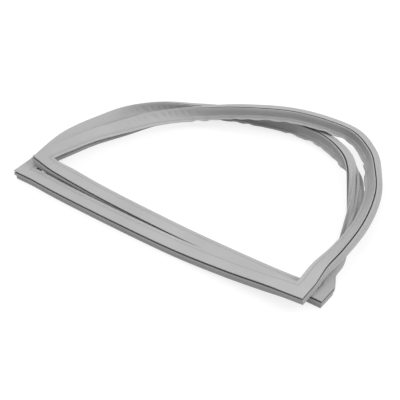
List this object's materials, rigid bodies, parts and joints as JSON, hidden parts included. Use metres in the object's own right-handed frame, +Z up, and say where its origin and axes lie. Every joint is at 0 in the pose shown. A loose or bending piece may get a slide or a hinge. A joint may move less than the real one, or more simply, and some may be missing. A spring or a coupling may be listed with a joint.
{
  "type": "refrigerator door gasket",
  "caption": "Hollow soft vinyl door gasket welded into a rectangle, with a magnetic strip inside each side, laid down folded into a double loop with its corners at the front",
  "frame": {"origin": "on the floor, below the middle of the folded gasket's bounding box", "axes": "X along the two short sides, which lie at the front; Y away from them, over the depth of the loop; Z up, out of the sealing face of the short sides"},
  "size_m": [0.6754, 0.4852, 0.0646],
  "materials": {
    "vinyl": "satin",
    "ferrite": "matte"
  },
  "bodies": {
    "root": {"gasket_profile": "vinyl", "magnet_front": "ferrite", "magnet_outer_curve": "ferrite", "magnet_rear": "ferrite", "magnet_inner_curve": "ferrite"}
  },
  "joints": []
}
